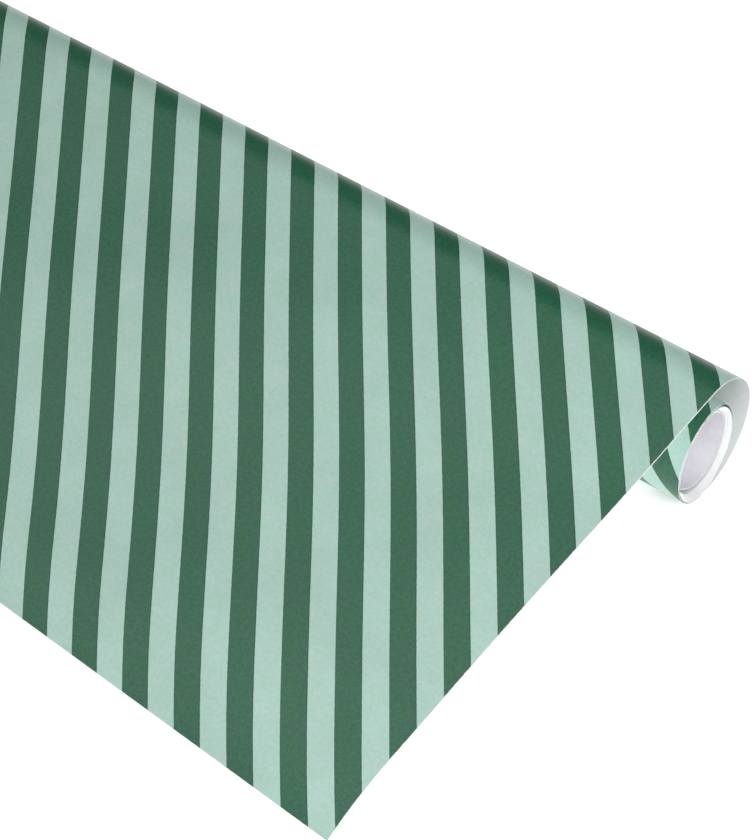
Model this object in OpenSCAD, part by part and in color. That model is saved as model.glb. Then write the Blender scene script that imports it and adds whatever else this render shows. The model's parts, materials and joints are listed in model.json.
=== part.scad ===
// Wrapping paper roll, lying on a table with its free end unrolled towards the front.
// +X along the roll, +Y away from the unrolled sheet, +Z up.
// The origin is on the table, under the middle of the whole object's box.

/* [Paper] */
// Width of the paper, and so the length of the roll
paper_width = 700; // [300:10:1500]
// Thickness of one layer of paper as it is modelled
web_t = 0.3; // [0.1:0.05:1]
// Angle by which the free end is cut out of square
end_skew = 3.3; // [0:0.1:8]

/* [Unrolled sheet] */
// Slope of the sheet as it comes down to the table
fall = 11.3; // [5:0.1:20]
// Straight length of the sheet, from the roll's top to where the curl starts
straight_len = 200; // [100:1:400]
// Radius of the curl near the free end
curl_r = 130; // [60:1:300]

/* [Loose turn] */
// Outer radius of the loose turn where it rises behind the roll
back_r = 29.2; // [24:0.1:40]
// Outer radius of the loose turn where it goes over the roll
crest_r = 24.8; // [21:0.1:35]
// Width of the strip of paper that lies flat under the roll
foot_w = 4; // [2:0.5:20]

/* [Wound roll] */
// Outer radius of the second turn
second_r = 21.4; // [15:0.1:40]
// Gap between the second turn and the paper under the roll
foot_gap = 0.3; // [0.1:0.05:1]
// Outer radius of the tightly wound turns
wound_r = 20.5; // [14:0.1:38]
// Thickness of all the tightly wound turns together
wound_wall = 2.1; // [1:0.1:10]
// How far the tightly wound turns lie below the middle of the second turn
wound_sag = 0.5; // [0:0.05:2]

/* [Core] */
// Outer radius of the cardboard core
core_r = 17.5; // [10:0.1:30]
// Length of the core, which sits a little inside both ends of the paper
core_len = 694; // [290:1:1490]
// Thickness of each of the core's two plies
ply_t = 0.45; // [0.2:0.05:2]
// Thickness of the glue line between the two plies
glue_t = 0.05; // [0.02:0.01:0.2]
// How far the core lies off the middle of the wound turns, towards the back and up
core_off = 0.7; // [0:0.05:0.8]

/* [Hidden] */
$fn = 128;
paper_mint = [0.70, 0.82, 0.78];
paper_green = [0.29, 0.45, 0.36];
card_white = [0.84, 0.83, 0.86];
card_grey = [0.72, 0.70, 0.68];
// Reach of the wedges that cut arcs out of rings, beyond any radius here
reach = 400;
// How far a cutting tool runs past what it cuts
past = 1;
// Height of the roll's axis over the table
axis_z = web_t + foot_gap + second_r;
// Middle of the crest arc, which joins the back arc tangentially where the paper runs straight up
crest_y = back_r - crest_r;
// Lower face of the sheet at the top of the roll
top_y = crest_y - (crest_r - web_t) * sin(fall);
top_z = back_r + (crest_r - web_t) * cos(fall);
// Lower face of the sheet where the curl starts
bend_y = top_y - straight_len * cos(fall);
bend_z = top_z - straight_len * sin(fall);
// The curl turns down until the front corner of the free end touches the table
curl_in = curl_r - web_t;
end_heading = acos(cos(fall) - bend_z / curl_in);
end_y = bend_y - curl_in * (sin(end_heading) - sin(fall));
// Middle of the curl's arc
curl_y = bend_y + curl_in * sin(fall);
curl_z = bend_z - curl_in * cos(fall);
// Moves the roll's axis back so that the whole object's box is centred on the origin
shift_y = -(end_y + back_r) / 2;

// Extrudes an outline drawn in Y and Z along the roll, centred on X = 0.
module along_roll(length) {
    translate([-length / 2, shift_y, 0])
        rotate([90, 0, 90])
            linear_extrude(length)
                children();
}

// Part of a flat ring of outer radius r and thickness t, from angle a to angle b.
module arc_band(r, t, a, b) {
    intersection() {
        difference() {
            circle(r);
            circle(r - t);
        }
        polygon([
            [0, 0],
            reach * [cos(a), sin(a)],
            reach * [cos((a + b) / 2), sin((a + b) / 2)],
            reach * [cos(b), sin(b)]
        ]);
    }
}

// Tube along the roll's axis with its middle moved by dy and dz from that axis.
module tube(r, t, length, dy = 0, dz = 0) {
    translate([-length / 2, shift_y + dy, axis_z + dz])
        rotate([0, 90, 0])
            difference() {
                cylinder(h = length, r = r);
                translate([0, 0, -past])
                    cylinder(h = length + 2 * past, r = r - t);
            }
}

// Unrolled length of the paper: straight down from the roll's top, then a curl to the table.
module sheet() {
    color(paper_mint)
        intersection() {
            along_roll(paper_width)
                union() {
                    translate([top_y, top_z])
                        rotate(180 + fall)
                            translate([0, -web_t])
                                square([straight_len, web_t]);
                    translate([curl_y, curl_z])
                        arc_band(curl_r, web_t, 90 + fall, 90 + end_heading + past);
                }
            plan_cut();
        }
}

// Block over everything behind the free end, whose edge runs out of square across the paper.
module plan_cut() {
    front = end_y + shift_y;
    half = paper_width / 2 + past;
    right_y = front - past * tan(end_skew);
    left_y = front + (paper_width + past) * tan(end_skew);
    translate([0, 0, -past])
        linear_extrude(2 * back_r + 2 * crest_r)
            polygon([[half, right_y], [half, reach], [-half, reach], [-half, left_y]]);
}

// Outermost turn, standing off the roll: flat under it, up behind it and over its top.
module loose_turn() {
    color(paper_mint)
        along_roll(paper_width)
            union() {
                translate([-foot_w, 0])
                    square([foot_w, web_t]);
                translate([0, back_r])
                    arc_band(back_r, web_t, -90, 0);
                translate([crest_y, back_r])
                    arc_band(crest_r, web_t, 0, 90 + fall);
            }
}

// Next turn in, which stands slightly off the tight turns at the top of the roll.
module second_turn() {
    color(paper_green)
        tube(second_r, web_t, paper_width);
}

// Tightly wound turns, which lie against the second turn at its bottom.
module wound_turns() {
    color(paper_mint)
        tube(wound_r, wound_wall, paper_width, 0, -wound_sag);
}

// Outer ply of the core, loose in the wound turns.
module core_outer_ply() {
    color(card_grey)
        core_ply(core_r);
}

// White inner ply of the core, glued inside the outer one.
module core_liner_ply() {
    color(card_white)
        core_ply(core_r - ply_t - glue_t);
}

// One ply of the core, of outer radius r.
module core_ply(r) {
    off = core_off / sqrt(2);
    tube(r, ply_t, core_len, off, off - wound_sag);
}

sheet();
loose_turn();
second_turn();
wound_turns();
core_outer_ply();
core_liner_ply();
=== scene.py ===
import json
import math

import bpy
import numpy as np
from mathutils import Euler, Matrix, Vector


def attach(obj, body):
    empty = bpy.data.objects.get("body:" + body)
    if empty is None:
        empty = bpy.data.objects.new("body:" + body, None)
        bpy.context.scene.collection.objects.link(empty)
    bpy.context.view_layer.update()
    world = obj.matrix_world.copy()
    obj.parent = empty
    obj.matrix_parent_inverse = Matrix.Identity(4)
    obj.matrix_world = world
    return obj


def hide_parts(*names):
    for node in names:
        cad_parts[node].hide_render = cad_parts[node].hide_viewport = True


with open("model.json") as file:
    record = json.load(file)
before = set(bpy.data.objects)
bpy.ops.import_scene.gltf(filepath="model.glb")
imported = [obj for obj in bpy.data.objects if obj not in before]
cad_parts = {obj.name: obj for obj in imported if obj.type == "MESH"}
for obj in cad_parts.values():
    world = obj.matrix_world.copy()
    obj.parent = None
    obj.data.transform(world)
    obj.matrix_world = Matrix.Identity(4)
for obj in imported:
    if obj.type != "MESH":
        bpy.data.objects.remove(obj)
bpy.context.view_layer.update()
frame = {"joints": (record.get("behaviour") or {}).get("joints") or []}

MM = 0.001
TAU = 2 * math.pi

# ---------------------------------------------------------------- camera

camera = bpy.data.objects.new("Camera", bpy.data.cameras.new("Camera"))
bpy.context.scene.collection.objects.link(camera)
bpy.context.scene.camera = camera
camera.location = (0.7997, -0.70197, 0.8463)
camera.rotation_euler = Euler(tuple(math.radians(a) for a in (48.309, -1.452, 38.675)))
camera.data.sensor_width = 36
camera.data.lens = 133.2
camera.data.clip_start = 0.05
camera.data.clip_end = 200

# ---------------------------------------------------------------- sizes, close to those of the CAD

PAPER_WIDTH = 700 * MM
PAPER_T = 0.1 * MM

# The unrolled sheet: its slope, its straight length, and the curl down to the free end, which is
# cut out of square.
FALL = math.radians(11.3)
STRAIGHT = 201.2 * MM
CURL_R = 130 * MM
END_HEADING = math.radians(29.26)
END_SKEW = math.radians(3.3)

# The loose turn: flat under the roll, then its outer radius behind the roll and over its top.
FOOT = 4 * MM
BACK_R = 29.2 * MM
CREST_R = 24.8 * MM

# The wound paper: outer radii of the second turn and of the tight turns, the thickness of all the
# tight turns, how far they sag below the roll's axis, how far their ends lean per unit of Y and Z,
# how far the inner ones have slipped along the roll, and how far the web runs on unseen between
# the two pieces that it is split into.
SECOND_R = 21.4 * MM
WOUND_R = 20.5 * MM
WOUND_WALL = 2.45 * MM
WOUND_SAG = 0.5 * MM
END_TILT = (0.074, 0.016)
SLIP = 2.5 * MM
TURN_START = 3.7 * MM

# The core: two plies with a glue line between them, and how far the core lies off the middle of
# the tight turns in Y and Z. SEAM is the gap between neighbouring edges of a ply's strip.
CORE_R = 17.5 * MM
CORE_LEN = 694 * MM
PLY_T = 0.45 * MM
GLUE_T = 0.05 * MM
CORE_OFF = (0.18 * MM, 0.47 * MM)
SEAM = 0.12 * MM

spin = next(j for j in frame["joints"] if j["name"] == "roll_spin")
AXIS_Y, AXIS_Z = spin["pos_m"][1], spin["pos_m"][2]

# The web's path in Y and Z, from the foot under the roll to the free end, as (length, curvature).
UNROLLED = [
    (FOOT, 0),
    (BACK_R * TAU / 4, 1 / BACK_R),
    (CREST_R * (TAU / 4 + FALL), 1 / CREST_R),
    (STRAIGHT, 0),
    (CURL_R * (END_HEADING - FALL), 1 / CURL_R),
]
UNROLLED_LEN = sum(length for length, _ in UNROLLED)

rng = np.random.default_rng(41)


# ---------------------------------------------------------------- curves


def smooth(value):
    """A soft step from 0 to 1 as value goes from 0 to 1."""
    value = np.clip(value, 0, 1)
    return value * value * (3 - 2 * value)


def smooth_noise(count, span):
    """Random values of about -2 to 2 that drift over span steps."""
    raw = rng.normal(size=count + 2 * span)
    kernel = np.hanning(span)
    soft = np.convolve(raw, kernel / np.sqrt((kernel**2).sum()), "same")[span : span + count]
    return np.clip(soft, -2, 2)


def bend_path(pieces, step):
    """Distances, y, z and headings along straight and curved pieces, about one point per step."""
    finer = 8
    easing = 1.5 * MM
    ends = np.cumsum([0] + [length for length, _ in pieces])
    bend = np.array([curvature for _, curvature in pieces])
    count = int(round(ends[-1] / step)) + 1
    s = np.linspace(0, ends[-1], count)
    fine = np.linspace(0, ends[-1], finer * (count - 1) + 1)
    k = bend[np.clip(np.searchsorted(ends, fine, side="right") - 1, 0, len(pieces) - 1)]
    ds = fine[1] - fine[0]
    # The curvature is averaged over a short stretch, so that the pieces run into each other.
    width = max(1, int(round(easing / ds)))
    pad = np.concatenate([np.full(width, k[0]), k, np.full(width, k[-1])])
    k = np.convolve(pad, np.ones(2 * width + 1) / (2 * width + 1), "valid")
    heading = running_sum(k, ds)
    y = running_sum(np.cos(heading), ds)
    z = running_sum(np.sin(heading), ds)
    return s, y[::finer], z[::finer], heading[::finer]


def running_sum(values, ds):
    """Integral of values from the start up to each point, by the trapezium rule."""
    return np.concatenate([[0], np.cumsum((values[1:] + values[:-1]) / 2 * ds)])


# ---------------------------------------------------------------- meshes


def make_object(name, verts, faces, face_mats, mats, uv):
    """A smooth mesh object. uv holds one (u, v) per vertex, kept in a map called web."""
    me = bpy.data.meshes.new(name)
    me.from_pydata([tuple(v) for v in verts], [], [tuple(int(i) for i in f) for f in faces])
    for m in mats:
        me.materials.append(m)
    me.polygons.foreach_set("material_index", np.asarray(face_mats, dtype=np.int32))
    me.polygons.foreach_set("use_smooth", np.ones(len(faces), dtype=bool))
    layer = me.uv_layers.new(name="web")
    loops = np.zeros(len(me.loops), dtype=np.int32)
    me.loops.foreach_get("vertex_index", loops)
    layer.data.foreach_set("uv", np.asarray(uv, dtype=np.float32)[loops].ravel())
    me.validate()
    me.update()
    ob = bpy.data.objects.new(name, me)
    bpy.context.scene.collection.objects.link(ob)
    return ob


def grid_solid(name, outer, inner, uv, mats):
    """A closed sheet from two grids of points, outer and inner, of shape (rows, columns, 3).
    Its outer face has material 0, its inner face material 1 and its four cut edges material 2."""
    rows, cols = outer.shape[:2]
    n = rows * cols
    ident = np.arange(n).reshape(rows, cols)
    a, b, c, d = ident[:-1, :-1], ident[1:, :-1], ident[1:, 1:], ident[:-1, 1:]
    front = np.stack([a, b, c, d], -1).reshape(-1, 4)
    back = np.stack([a, d, c, b], -1).reshape(-1, 4) + n
    ring = np.concatenate([ident[:-1, 0], ident[-1, :-1], ident[:0:-1, -1], ident[0, :0:-1]])
    following = np.roll(ring, -1)
    sides = np.stack([ring, ring + n, following + n, following], -1)
    faces = np.concatenate([front, back, sides])
    kinds = np.repeat([0, 1, 2], [len(front), len(back), len(sides)])
    verts = np.concatenate([outer.reshape(-1, 3), inner.reshape(-1, 3)])
    both = np.concatenate([uv.reshape(-1, 2), uv.reshape(-1, 2)])
    ob = make_object(name, verts, faces, kinds, mats, both)
    sharpen(ob)
    return ob


def sharpen(ob):
    """Marks edges where the material changes as sharp, so that faces and cut edges shade apart."""
    me = ob.data
    mats = np.zeros(len(me.polygons), dtype=np.int32)
    me.polygons.foreach_get("material_index", mats)
    edge_of = np.zeros(len(me.loops), dtype=np.int32)
    me.loops.foreach_get("edge_index", edge_of)
    sizes = np.zeros(len(me.polygons), dtype=np.int32)
    me.polygons.foreach_get("loop_total", sizes)
    kind = np.repeat(mats, sizes)
    lowest = np.full(len(me.edges), kind.max() + 1)
    highest = np.full(len(me.edges), -1)
    np.minimum.at(lowest, edge_of, kind)
    np.maximum.at(highest, edge_of, kind)
    attr = me.attributes.get("sharp_edge") or me.attributes.new("sharp_edge", "BOOLEAN", "EDGE")
    attr.data.foreach_set("value", lowest != highest)


# ---------------------------------------------------------------- shader nodes


def new_material(name):
    """A node material with nothing in it but its output and one principled shader."""
    mat = bpy.data.materials.new(name)
    mat.use_nodes = True
    nt = mat.node_tree
    nt.nodes.clear()
    out = nt.nodes.new("ShaderNodeOutputMaterial")
    shader = nt.nodes.new("ShaderNodeBsdfPrincipled")
    nt.links.new(shader.outputs[0], out.inputs[0])
    return mat, nt, shader


def plug(nt, socket, value):
    """Sets a socket to a plain value, or links it to another node's output."""
    if isinstance(value, (tuple, float, int)):
        socket.default_value = value
    else:
        nt.links.new(value, socket)


def calc(nt, op, a, b=None):
    """One step of arithmetic on numbers or node outputs."""
    node = nt.nodes.new("ShaderNodeMath")
    node.operation = op
    plug(nt, node.inputs[0], a)
    if b is not None:
        plug(nt, node.inputs[1], b)
    return node.outputs[0]


def mix_colour(nt, share, a, b):
    """Colour a where share is 0, and b where it is 1."""
    node = nt.nodes.new("ShaderNodeMix")
    node.data_type = "RGBA"
    # The node has sockets for every type of value, and those for colours are 6 and 7.
    for slot, value in ((0, share), (6, a), (7, b)):
        plug(nt, node.inputs[slot], value)
    return node.outputs[2]


def remap(nt, value, a, b, c, d):
    """Takes a..b to c..d, and stays at c or d beyond it."""
    node = nt.nodes.new("ShaderNodeMapRange")
    node.clamp = True
    for slot, v in enumerate((value, a, b, c, d)):
        plug(nt, node.inputs[slot], v)
    return node.outputs[0]


def stretch_noise(nt, value, low, high, reach=0.2):
    """Takes the usual values of a noise, which lie within reach of a half, to low..high."""
    return remap(nt, value, 0.5 - reach, 0.5 + reach, low, high)


def web_millimetres(nt):
    """Position on the flat web in millimetres: x across it from its middle, y from its free end."""
    uv = nt.nodes.new("ShaderNodeUVMap")
    uv.uv_map = "web"
    scale = nt.nodes.new("ShaderNodeVectorMath")
    scale.operation = "SCALE"
    scale.inputs["Scale"].default_value = 1 / MM
    nt.links.new(uv.outputs[0], scale.inputs[0])
    return scale.outputs[0]


def split_xy(nt, where):
    """The x and y parts of a position."""
    node = nt.nodes.new("ShaderNodeSeparateXYZ")
    nt.links.new(where, node.inputs[0])
    return node.outputs[0], node.outputs[1]


def noise(nt, where, per_mm, detail=3.0, rough=0.55):
    """Soft random values about a half, with features of 1 / per_mm millimetres and finer."""
    node = nt.nodes.new("ShaderNodeTexNoise")
    node.inputs["Scale"].default_value = per_mm
    node.inputs["Detail"].default_value = detail
    node.inputs["Roughness"].default_value = rough
    nt.links.new(where, node.inputs["Vector"])
    return node.outputs["Fac"]


def toned(nt, colour, value):
    """The colour, lighter or darker by a factor."""
    node = nt.nodes.new("ShaderNodeHueSaturation")
    nt.links.new(value, node.inputs["Value"])
    nt.links.new(colour, node.inputs["Color"])
    return node.outputs[0]


def bump(nt, shader, height, distance, strength):
    """Fine relief in the shading, distance metres high where height goes from 0 to 1."""
    node = nt.nodes.new("ShaderNodeBump")
    node.inputs["Strength"].default_value = strength
    node.inputs["Distance"].default_value = distance
    nt.links.new(height, node.inputs["Height"])
    nt.links.new(node.outputs[0], shader.inputs["Normal"])


# ---------------------------------------------------------------- print, in millimetres on the web

# Width of a stripe measured across the web, how far the stripes lean per millimetre along it, and
# where on that slanting scale a mint stripe starts.
STRIPE = 12.77
LEAN = 0.795
MINT_START = 187.8
# Unprinted margin on the sheet, and what is left of it on the wound turns.
MARGIN = 0.40
WOUND_MARGIN = 0.30

# Shares of the paper that show through pinholes in the ink, and of the print through the paper.
PINHOLES = 0.021
PRINT_BEHIND = 0.18

# Each ink between its darkest and lightest mottle, in two casts.
MINT_FRESH = ((0.331, 0.560, 0.463, 1), (0.397, 0.628, 0.530, 1))
MINT_PALE = ((0.399, 0.560, 0.505, 1), (0.465, 0.628, 0.572, 1))
GREEN_DEEP = ((0.000, 0.080, 0.032, 1), (0.001, 0.132, 0.056, 1))
GREEN_DULL = ((0.002, 0.072, 0.040, 1), (0.022, 0.124, 0.060, 1))
OVERPRINT = (0.001, 0.055, 0.040, 1)
BARE_PAPER = (0.86, 0.89, 0.88, 1)
SHOW_THROUGH = (0.60, 0.66, 0.645, 1)


def stripe_share(nt, where):
    """0 on a mint stripe and 1 on a green one, and the distances from a green stripe's two borders."""
    period = 2 * STRIPE
    ragged = 0.06
    soft = 0.05
    across, along = split_xy(nt, where)
    wobble = stretch_noise(nt, noise(nt, where, 0.6, 1.0), -ragged, ragged)
    slant = calc(nt, "ADD", across, calc(nt, "MULTIPLY", along, LEAN))
    slant = calc(nt, "SUBTRACT", calc(nt, "ADD", slant, wobble), MINT_START)
    part = calc(nt, "FRACT", calc(nt, "DIVIDE", slant, period))
    # The first half of each period is mint and the second half green.
    from_left = calc(nt, "MULTIPLY", calc(nt, "SUBTRACT", part, 0.5), period)
    to_right = calc(nt, "MULTIPLY", calc(nt, "SUBTRACT", 1.0, part), period)
    # Just past a green stripe its right border is the nearest one.
    before = calc(nt, "MULTIPLY", part, -period)
    inside = calc(nt, "MAXIMUM", calc(nt, "MINIMUM", from_left, to_right), before)
    return remap(nt, inside, -soft, soft, 0, 1), from_left, to_right


def bare_margin(nt, where):
    """1 on the hair-thin unprinted margins along the paper's two long sides."""
    ragged = 0.10
    soft = 0.15
    run_out = 20
    across, along = split_xy(nt, where)
    wobble = stretch_noise(nt, noise(nt, where, 0.9), -ragged, ragged)
    # The trim runs a little out of true, so the margin narrows further along the web.
    end = UNROLLED_LEN / MM
    narrowing = remap(nt, along, end, end + run_out, 0, MARGIN - WOUND_MARGIN)
    side = calc(nt, "ADD", calc(nt, "ABSOLUTE", across), wobble)
    side = calc(nt, "SUBTRACT", side, narrowing)
    start = 0.5 * PAPER_WIDTH / MM - MARGIN
    return remap(nt, side, start, start + soft, 0, 1)


def ink(nt, mottle, cast, one, other):
    """An ink's colour, from its mottle and from the share of its second cast."""
    return mix_colour(nt, cast, mix_colour(nt, mottle, *one), mix_colour(nt, mottle, *other))


def print_material():
    """Satin offset print on smooth white paper: two inks, dark where they overlap, finely mottled."""
    mat, nt, shader = new_material("striped_print")
    where = web_millimetres(nt)
    green, from_left, to_right = stripe_share(nt, where)
    clouds = noise(nt, where, 0.035, 2.0)
    mottle = noise(nt, where, 0.55, 4.0, 0.65)
    grain = noise(nt, where, 3.2, 3.0, 0.6)
    specks = stretch_noise(nt, noise(nt, where, 1.3, 4.0, 0.75), 0, 1, 0.1)
    cast = stretch_noise(nt, noise(nt, where, 0.12, 7.0, 0.8), 0, 1, 0.15)
    share = stretch_noise(nt, mottle, 0, 1)
    mint_ink = ink(nt, share, cast, MINT_FRESH, MINT_PALE)
    green_ink = ink(nt, share, cast, GREEN_DEEP, GREEN_DULL)
    inked = mix_colour(nt, green, mint_ink, green_ink)
    # Pinholes in the ink let the white paper show.
    inked = mix_colour(nt, calc(nt, "MULTIPLY", specks, PINHOLES), inked, BARE_PAPER)
    # The inks overlap in a hair line along both borders of a green stripe, wider on the right.
    right_line = remap(nt, to_right, 0.30, 0.50, 1, 0)
    left_line = remap(nt, from_left, 0.10, 0.25, 0.7, 0)
    overlap = calc(nt, "MULTIPLY", calc(nt, "MAXIMUM", right_line, left_line), green)
    inked = mix_colour(nt, overlap, inked, OVERPRINT)
    inked = mix_colour(nt, bare_margin(nt, where), inked, BARE_PAPER)
    # The dark ink shows the paper's grain more than the light one.
    depth = remap(nt, green, 0, 1, 0.02, 0.07)
    tone = calc(nt, "MULTIPLY", remap(nt, specks, 0, 1, -1, 1), depth)
    tone = calc(nt, "ADD", tone, stretch_noise(nt, grain, -0.075, 0.075, 0.25))
    tone = calc(nt, "ADD", tone, stretch_noise(nt, clouds, 0.96, 1.04))
    nt.links.new(toned(nt, inked, tone), shader.inputs["Base Color"])
    nt.links.new(stretch_noise(nt, mottle, 0.33, 0.40), shader.inputs["Roughness"])
    shader.inputs["Specular IOR Level"].default_value = 0.5
    rise = calc(nt, "ADD", calc(nt, "MULTIPLY", mottle, 0.6), calc(nt, "MULTIPLY", grain, 0.4))
    bump(nt, shader, rise, 0.04 * MM, 0.6)
    return mat


def back_material():
    """Unprinted side: white, matt, with fibres and a trace of the print showing through."""
    mat, nt, shader = new_material("white_back")
    where = web_millimetres(nt)
    green, _, _ = stripe_share(nt, where)
    fibres = noise(nt, where, 1.4, 5.0, 0.7)
    share = stretch_noise(nt, fibres, 0, 1)
    paper = mix_colour(nt, share, (0.76, 0.78, 0.79, 1), (0.84, 0.855, 0.86, 1))
    seen = mix_colour(nt, calc(nt, "MULTIPLY", green, PRINT_BEHIND), paper, SHOW_THROUGH)
    nt.links.new(seen, shader.inputs["Base Color"])
    shader.inputs["Roughness"].default_value = 0.7
    shader.inputs["Specular IOR Level"].default_value = 0.3
    bump(nt, shader, fibres, 0.05 * MM, 0.5)
    return mat


def edge_material():
    """Cut edge of the paper: bright and rough."""
    mat, nt, shader = new_material("cut_edge")
    fibres = stretch_noise(nt, noise(nt, web_millimetres(nt), 2.0, 4.0, 0.7), 0, 1)
    paper = mix_colour(nt, fibres, (0.77, 0.785, 0.80, 1), (0.86, 0.875, 0.89, 1))
    nt.links.new(paper, shader.inputs["Base Color"])
    shader.inputs["Roughness"].default_value = 0.8
    return mat


def board_material(name, low, high, rough):
    """Paperboard of the core: long fibres that run round it, and soft speckle."""
    mat, nt, shader = new_material(name)
    where = web_millimetres(nt)
    squeeze = nt.nodes.new("ShaderNodeVectorMath")
    squeeze.operation = "MULTIPLY"
    squeeze.inputs[1].default_value = (1, 0.25, 1)
    nt.links.new(where, squeeze.inputs[0])
    fibres = noise(nt, squeeze.outputs[0], 1.1, 5.0, 0.7)
    board = mix_colour(nt, stretch_noise(nt, fibres, 0, 1), low, high)
    speckle = stretch_noise(nt, noise(nt, where, 0.12, 2.0), 0.96, 1.04)
    nt.links.new(toned(nt, board, speckle), shader.inputs["Base Color"])
    shader.inputs["Roughness"].default_value = rough
    shader.inputs["Specular IOR Level"].default_value = 0.3
    bump(nt, shader, fibres, 0.06 * MM, 0.5)
    return mat


PRINT = print_material()
BACK = back_material()
EDGE = edge_material()
LINER = board_material("core_liner", (0.72, 0.715, 0.765, 1), (0.80, 0.795, 0.845, 1), 0.65)
BOARD = board_material("core_board", (0.30, 0.28, 0.26, 1), (0.40, 0.38, 0.35, 1), 0.8)
BOARD_CUT = board_material("core_cut", (0.50, 0.48, 0.50, 1), (0.62, 0.60, 0.62, 1), 0.85)


# ---------------------------------------------------------------- unrolled paper


def unrolled_paper():
    """The sheet on the table and the loose turn behind the roll, as one piece of paper."""
    row_step = 1.2 * MM
    columns = 141
    skew_reach = 200 * MM
    s, y, z, heading = bend_path(UNROLLED, row_step)
    xs = np.linspace(-PAPER_WIDTH / 2, PAPER_WIDTH / 2, columns)
    # The free end is cut out of square: every column is a little shorter towards -X.
    cut = np.tan(END_SKEW) * (PAPER_WIDTH / 2 - xs)
    share = np.clip((s - (UNROLLED_LEN - skew_reach)) / skew_reach, 0, 1)
    along = s[:, None] - share[:, None] * cut[None, :]
    far = UNROLLED_LEN - along
    col_x = np.broadcast_to(xs, along.shape)
    turned = np.interp(along, s, heading)
    ny, nz = np.sin(turned), -np.cos(turned)
    lift = undulation(col_x, far)
    outer_y = np.interp(along, s, y - FOOT) + ny * lift
    outer_z = np.interp(along, s, z) + nz * lift
    outer = np.stack([col_x, outer_y + AXIS_Y, outer_z], -1)
    # The inner face lies one thickness inside the outer one, square to its waves.
    normal = np.cross(np.gradient(outer, axis=1), np.gradient(outer, axis=0))
    normal /= np.linalg.norm(normal, axis=-1, keepdims=True)
    side = np.sign((normal[..., 1] * ny + normal[..., 2] * nz)[0, 0])
    inner = outer - side * normal * PAPER_T
    uv = np.stack([col_x, far - print_drift(col_x, far) / LEAN], -1)
    ob = grid_solid("unrolled_web", outer, inner, uv, [PRINT, BACK, EDGE])
    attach(ob, "unrolled_paper")
    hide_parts("sheet", "loose_turn")


def undulation(x, far):
    """How far the paper stands off its even path, with far measured from the free end: soft waves
    that run slantwise over the sheet and die out towards both ends."""
    sheet_len = 245 * MM
    fade_in = 80 * MM
    fade_out = 60 * MM
    end_lift = 0.5 * MM
    waves = ripple(x, far, 0.70 * MM, 175 * MM, (-0.61, 0.79))
    waves += ripple(x, far, 0.12 * MM, 120 * MM, (0.8, 0.6), 2.1)
    free = smooth((sheet_len - far) / fade_in) * smooth(far / fade_out)
    # The free end rides up just enough for its front corner to rest on the table.
    return free * waves + end_lift * smooth(1 - far / fade_out)


def ripple(x, far, height, length, heading, start=0.0):
    """One even wave over the sheet, whose heading is a direction in x and far."""
    return height * np.sin(TAU * (heading[0] * x + heading[1] * far) / length + start)


def print_drift(x, far):
    """How far the stripes wander sideways in a slanting band of the sheet."""
    most = 1.5 * MM
    spread = 85 * MM
    return most * np.exp(-(((far - 0.5 * x) / spread) ** 2))


# ---------------------------------------------------------------- wound paper


def wound_paper():
    """The second turn and the tight turns inside it, as one spiral of paper. Positions along it
    are counted in turns, from the cut under the roll inwards."""
    turns = 14
    per_turn = 90
    # Where the second turn starts to narrow, where the tight turns start, and how much of the
    # innermost one is missing.
    settle_from = 0.72
    tight_from = 1.05
    short_end = 0.2
    air = 0.01 * MM
    spring = 0.25 * MM
    spring_turns = 0.02
    uneven = 0.12 * MM
    uneven_steps = 26
    pitch = WOUND_WALL / turns
    total = turns + tight_from - short_end
    count = int(total * per_turn) + 1
    t = np.linspace(0, total, count)
    settle = smooth((t - settle_from) / (tight_from - settle_from))
    inside = np.clip(t - tight_from, 0, None)
    radius = SECOND_R + (WOUND_R - SECOND_R) * settle - pitch * inside
    # The cut end springs out a little, onto the paper under the roll.
    radius += spring * np.exp(-t / spring_turns)
    # The tight turns are drawn thicker than the paper, so that their cut edges make one ring.
    thick = PAPER_T + (pitch - air - PAPER_T) * settle
    angle = -TAU / 4 - TAU * t
    outward = np.stack([np.cos(angle), np.sin(angle)], -1)
    sag = np.stack([np.zeros(count), WOUND_SAG * settle], -1)
    path = outward * radius[:, None] - sag
    inward = outward * (radius - thick)[:, None] - sag
    steps = np.hypot(*np.diff(path, axis=0).T)
    dist = UNROLLED_LEN + TURN_START + np.concatenate([[0], np.cumsum(steps)])
    # Columns lie closer together near the roll's two ends.
    inset = np.array([0, 1.5, 6, 25, 90, 200]) * MM
    half = PAPER_WIDTH / 2
    xs = np.concatenate([-half + inset, half - inset[::-1]])
    # The turns are not wound quite square, and the inner ones have slipped towards -X.
    shift = -END_TILT[0] * path[:, 0] - END_TILT[1] * (path[:, 1] + WOUND_SAG)
    shift += smooth_noise(count, uneven_steps) * uneven - SLIP * inside / turns

    def across_roll(points):
        grid = np.zeros((count, len(xs), 3))
        grid[..., 0] = xs[None, :] + shift[:, None]
        grid[..., 1] = points[:, :1] + AXIS_Y
        grid[..., 2] = points[:, 1:] + AXIS_Z
        return grid[::-1]

    uv = np.stack(np.broadcast_arrays(xs[None, :], dist[:, None]), -1)[::-1]
    mats = [PRINT, BACK, EDGE]
    ob = grid_solid("wound_web", across_roll(path), across_roll(inward), uv, mats)
    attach(ob, "wound_roll")
    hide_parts("second_turn", "wound_turns")


# ---------------------------------------------------------------- core


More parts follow.
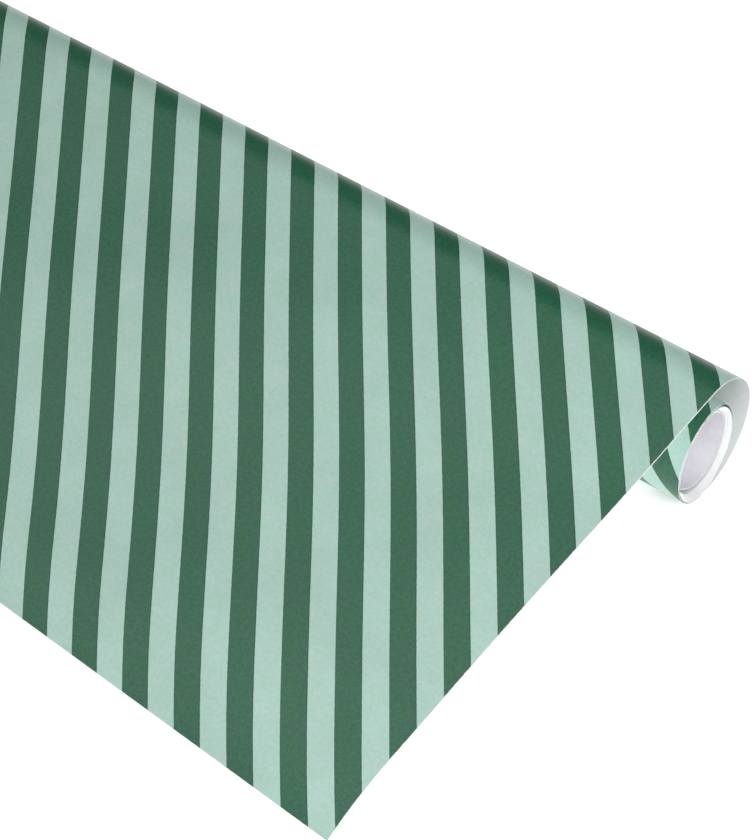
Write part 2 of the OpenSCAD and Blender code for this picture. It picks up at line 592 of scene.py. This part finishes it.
def core_ply(name, node, radius, face_mat, start, lean_deg):
    """One ply of the core: a strip of board wound in a helix, its edges butted with a hair's gap.
    start turns the seam about the core, and lean_deg is the strip's angle to the core's length."""
    per_turn = 96
    columns = 9
    # A hair of the strip is left off where it starts and stops, so that it never has no width.
    hair = 1e-4
    advance = TAU * radius / math.tan(math.radians(lean_deg))
    wide = advance - SEAM
    half = CORE_LEN / 2
    first = (-half - wide) / advance
    last = half / advance
    turn = np.linspace(first + hair, last - hair, int((last - first) * per_turn))
    low = np.clip(turn * advance, -half, half)
    high = np.clip(turn * advance + wide, -half, half)
    mix = np.linspace(0, 1, columns)
    xs = low[:, None] * (1 - mix) + high[:, None] * mix
    angle = (TAU * turn + start)[:, None] * np.ones(columns)
    cy = AXIS_Y + CORE_OFF[0]
    cz = AXIS_Z + CORE_OFF[1] - WOUND_SAG

    def face(r):
        return np.stack([xs, cy + r * np.cos(angle), cz + r * np.sin(angle)], -1)

    uv = np.stack([xs, angle * radius], -1)
    mats = [face_mat, face_mat, BOARD_CUT]
    ob = grid_solid(name, face(radius), face(radius - PLY_T), uv, mats)
    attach(ob, "core")
    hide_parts(node)


unrolled_paper()
wound_paper()
core_ply("core_board_strip", "core_outer_ply", CORE_R, BOARD, 0.4, 62)
LINER_R = CORE_R - PLY_T - GLUE_T
core_ply("core_liner_strip", "core_liner_ply", LINER_R, LINER, 2.6, 70)


# ---------------------------------------------------------------- stage

# Name, place, what it points at, width and height, watts.
LIGHTS = [
    ("ceiling", (-0.6, -0.15, 2.0), (-0.6, -0.15, 0), (1.9, 2.2), 20),
    ("right", (1.9, -0.7, 1.3), (0.3, 0, 0), (1.0, 1.0), 12),
    ("near", (0.95, -0.2, 0.7), (0.35, 0, 0), (0.8, 0.8), 5.4),
    ("side", (1.65, -0.6, 0.3), (0.35, 0.1, 0.02), (0.8, 0.4), 5),
]


def stage_floor():
    """A pale floor that glows a little, so that it comes out white around the roll."""
    half = 30.0
    drop = -0.3 * MM
    me = bpy.data.meshes.new("floor")
    corners = [(-half, -half, drop), (half, -half, drop), (half, half, drop), (-half, half, drop)]
    me.from_pydata(corners, [], [(0, 1, 2, 3)])
    ob = bpy.data.objects.new("floor", me)
    bpy.context.scene.collection.objects.link(ob)
    mat, _, shader = new_material("floor")
    shader.inputs["Base Color"].default_value = (0.93, 0.93, 0.93, 1)
    shader.inputs["Roughness"].default_value = 0.9
    shader.inputs["Specular IOR Level"].default_value = 0.1
    shader.inputs["Emission Color"].default_value = (1, 1, 1, 1)
    shader.inputs["Emission Strength"].default_value = 0.45
    me.materials.append(mat)


def area_light(name, place, target, size, watts):
    """A rectangular soft light, turned towards its target."""
    data = bpy.data.lights.new(name, "AREA")
    data.shape = "RECTANGLE"
    data.size, data.size_y = size
    data.energy = watts
    ob = bpy.data.objects.new(name, data)
    bpy.context.scene.collection.objects.link(ob)
    ob.location = place
    aim = Vector(target) - Vector(place)
    ob.rotation_euler = aim.to_track_quat("-Z", "Y").to_euler()


def studio():
    """A faint even glow all round, and the scene's plain tone curve."""
    world = bpy.data.worlds.new("studio")
    bpy.context.scene.world = world
    world.use_nodes = True
    background = world.node_tree.nodes["Background"]
    background.inputs["Color"].default_value = (1, 1, 1, 1)
    background.inputs["Strength"].default_value = 0.1
    bpy.context.scene.view_settings.view_transform = "Standard"


stage_floor()
studio()
for light in LIGHTS:
    area_light(*light)
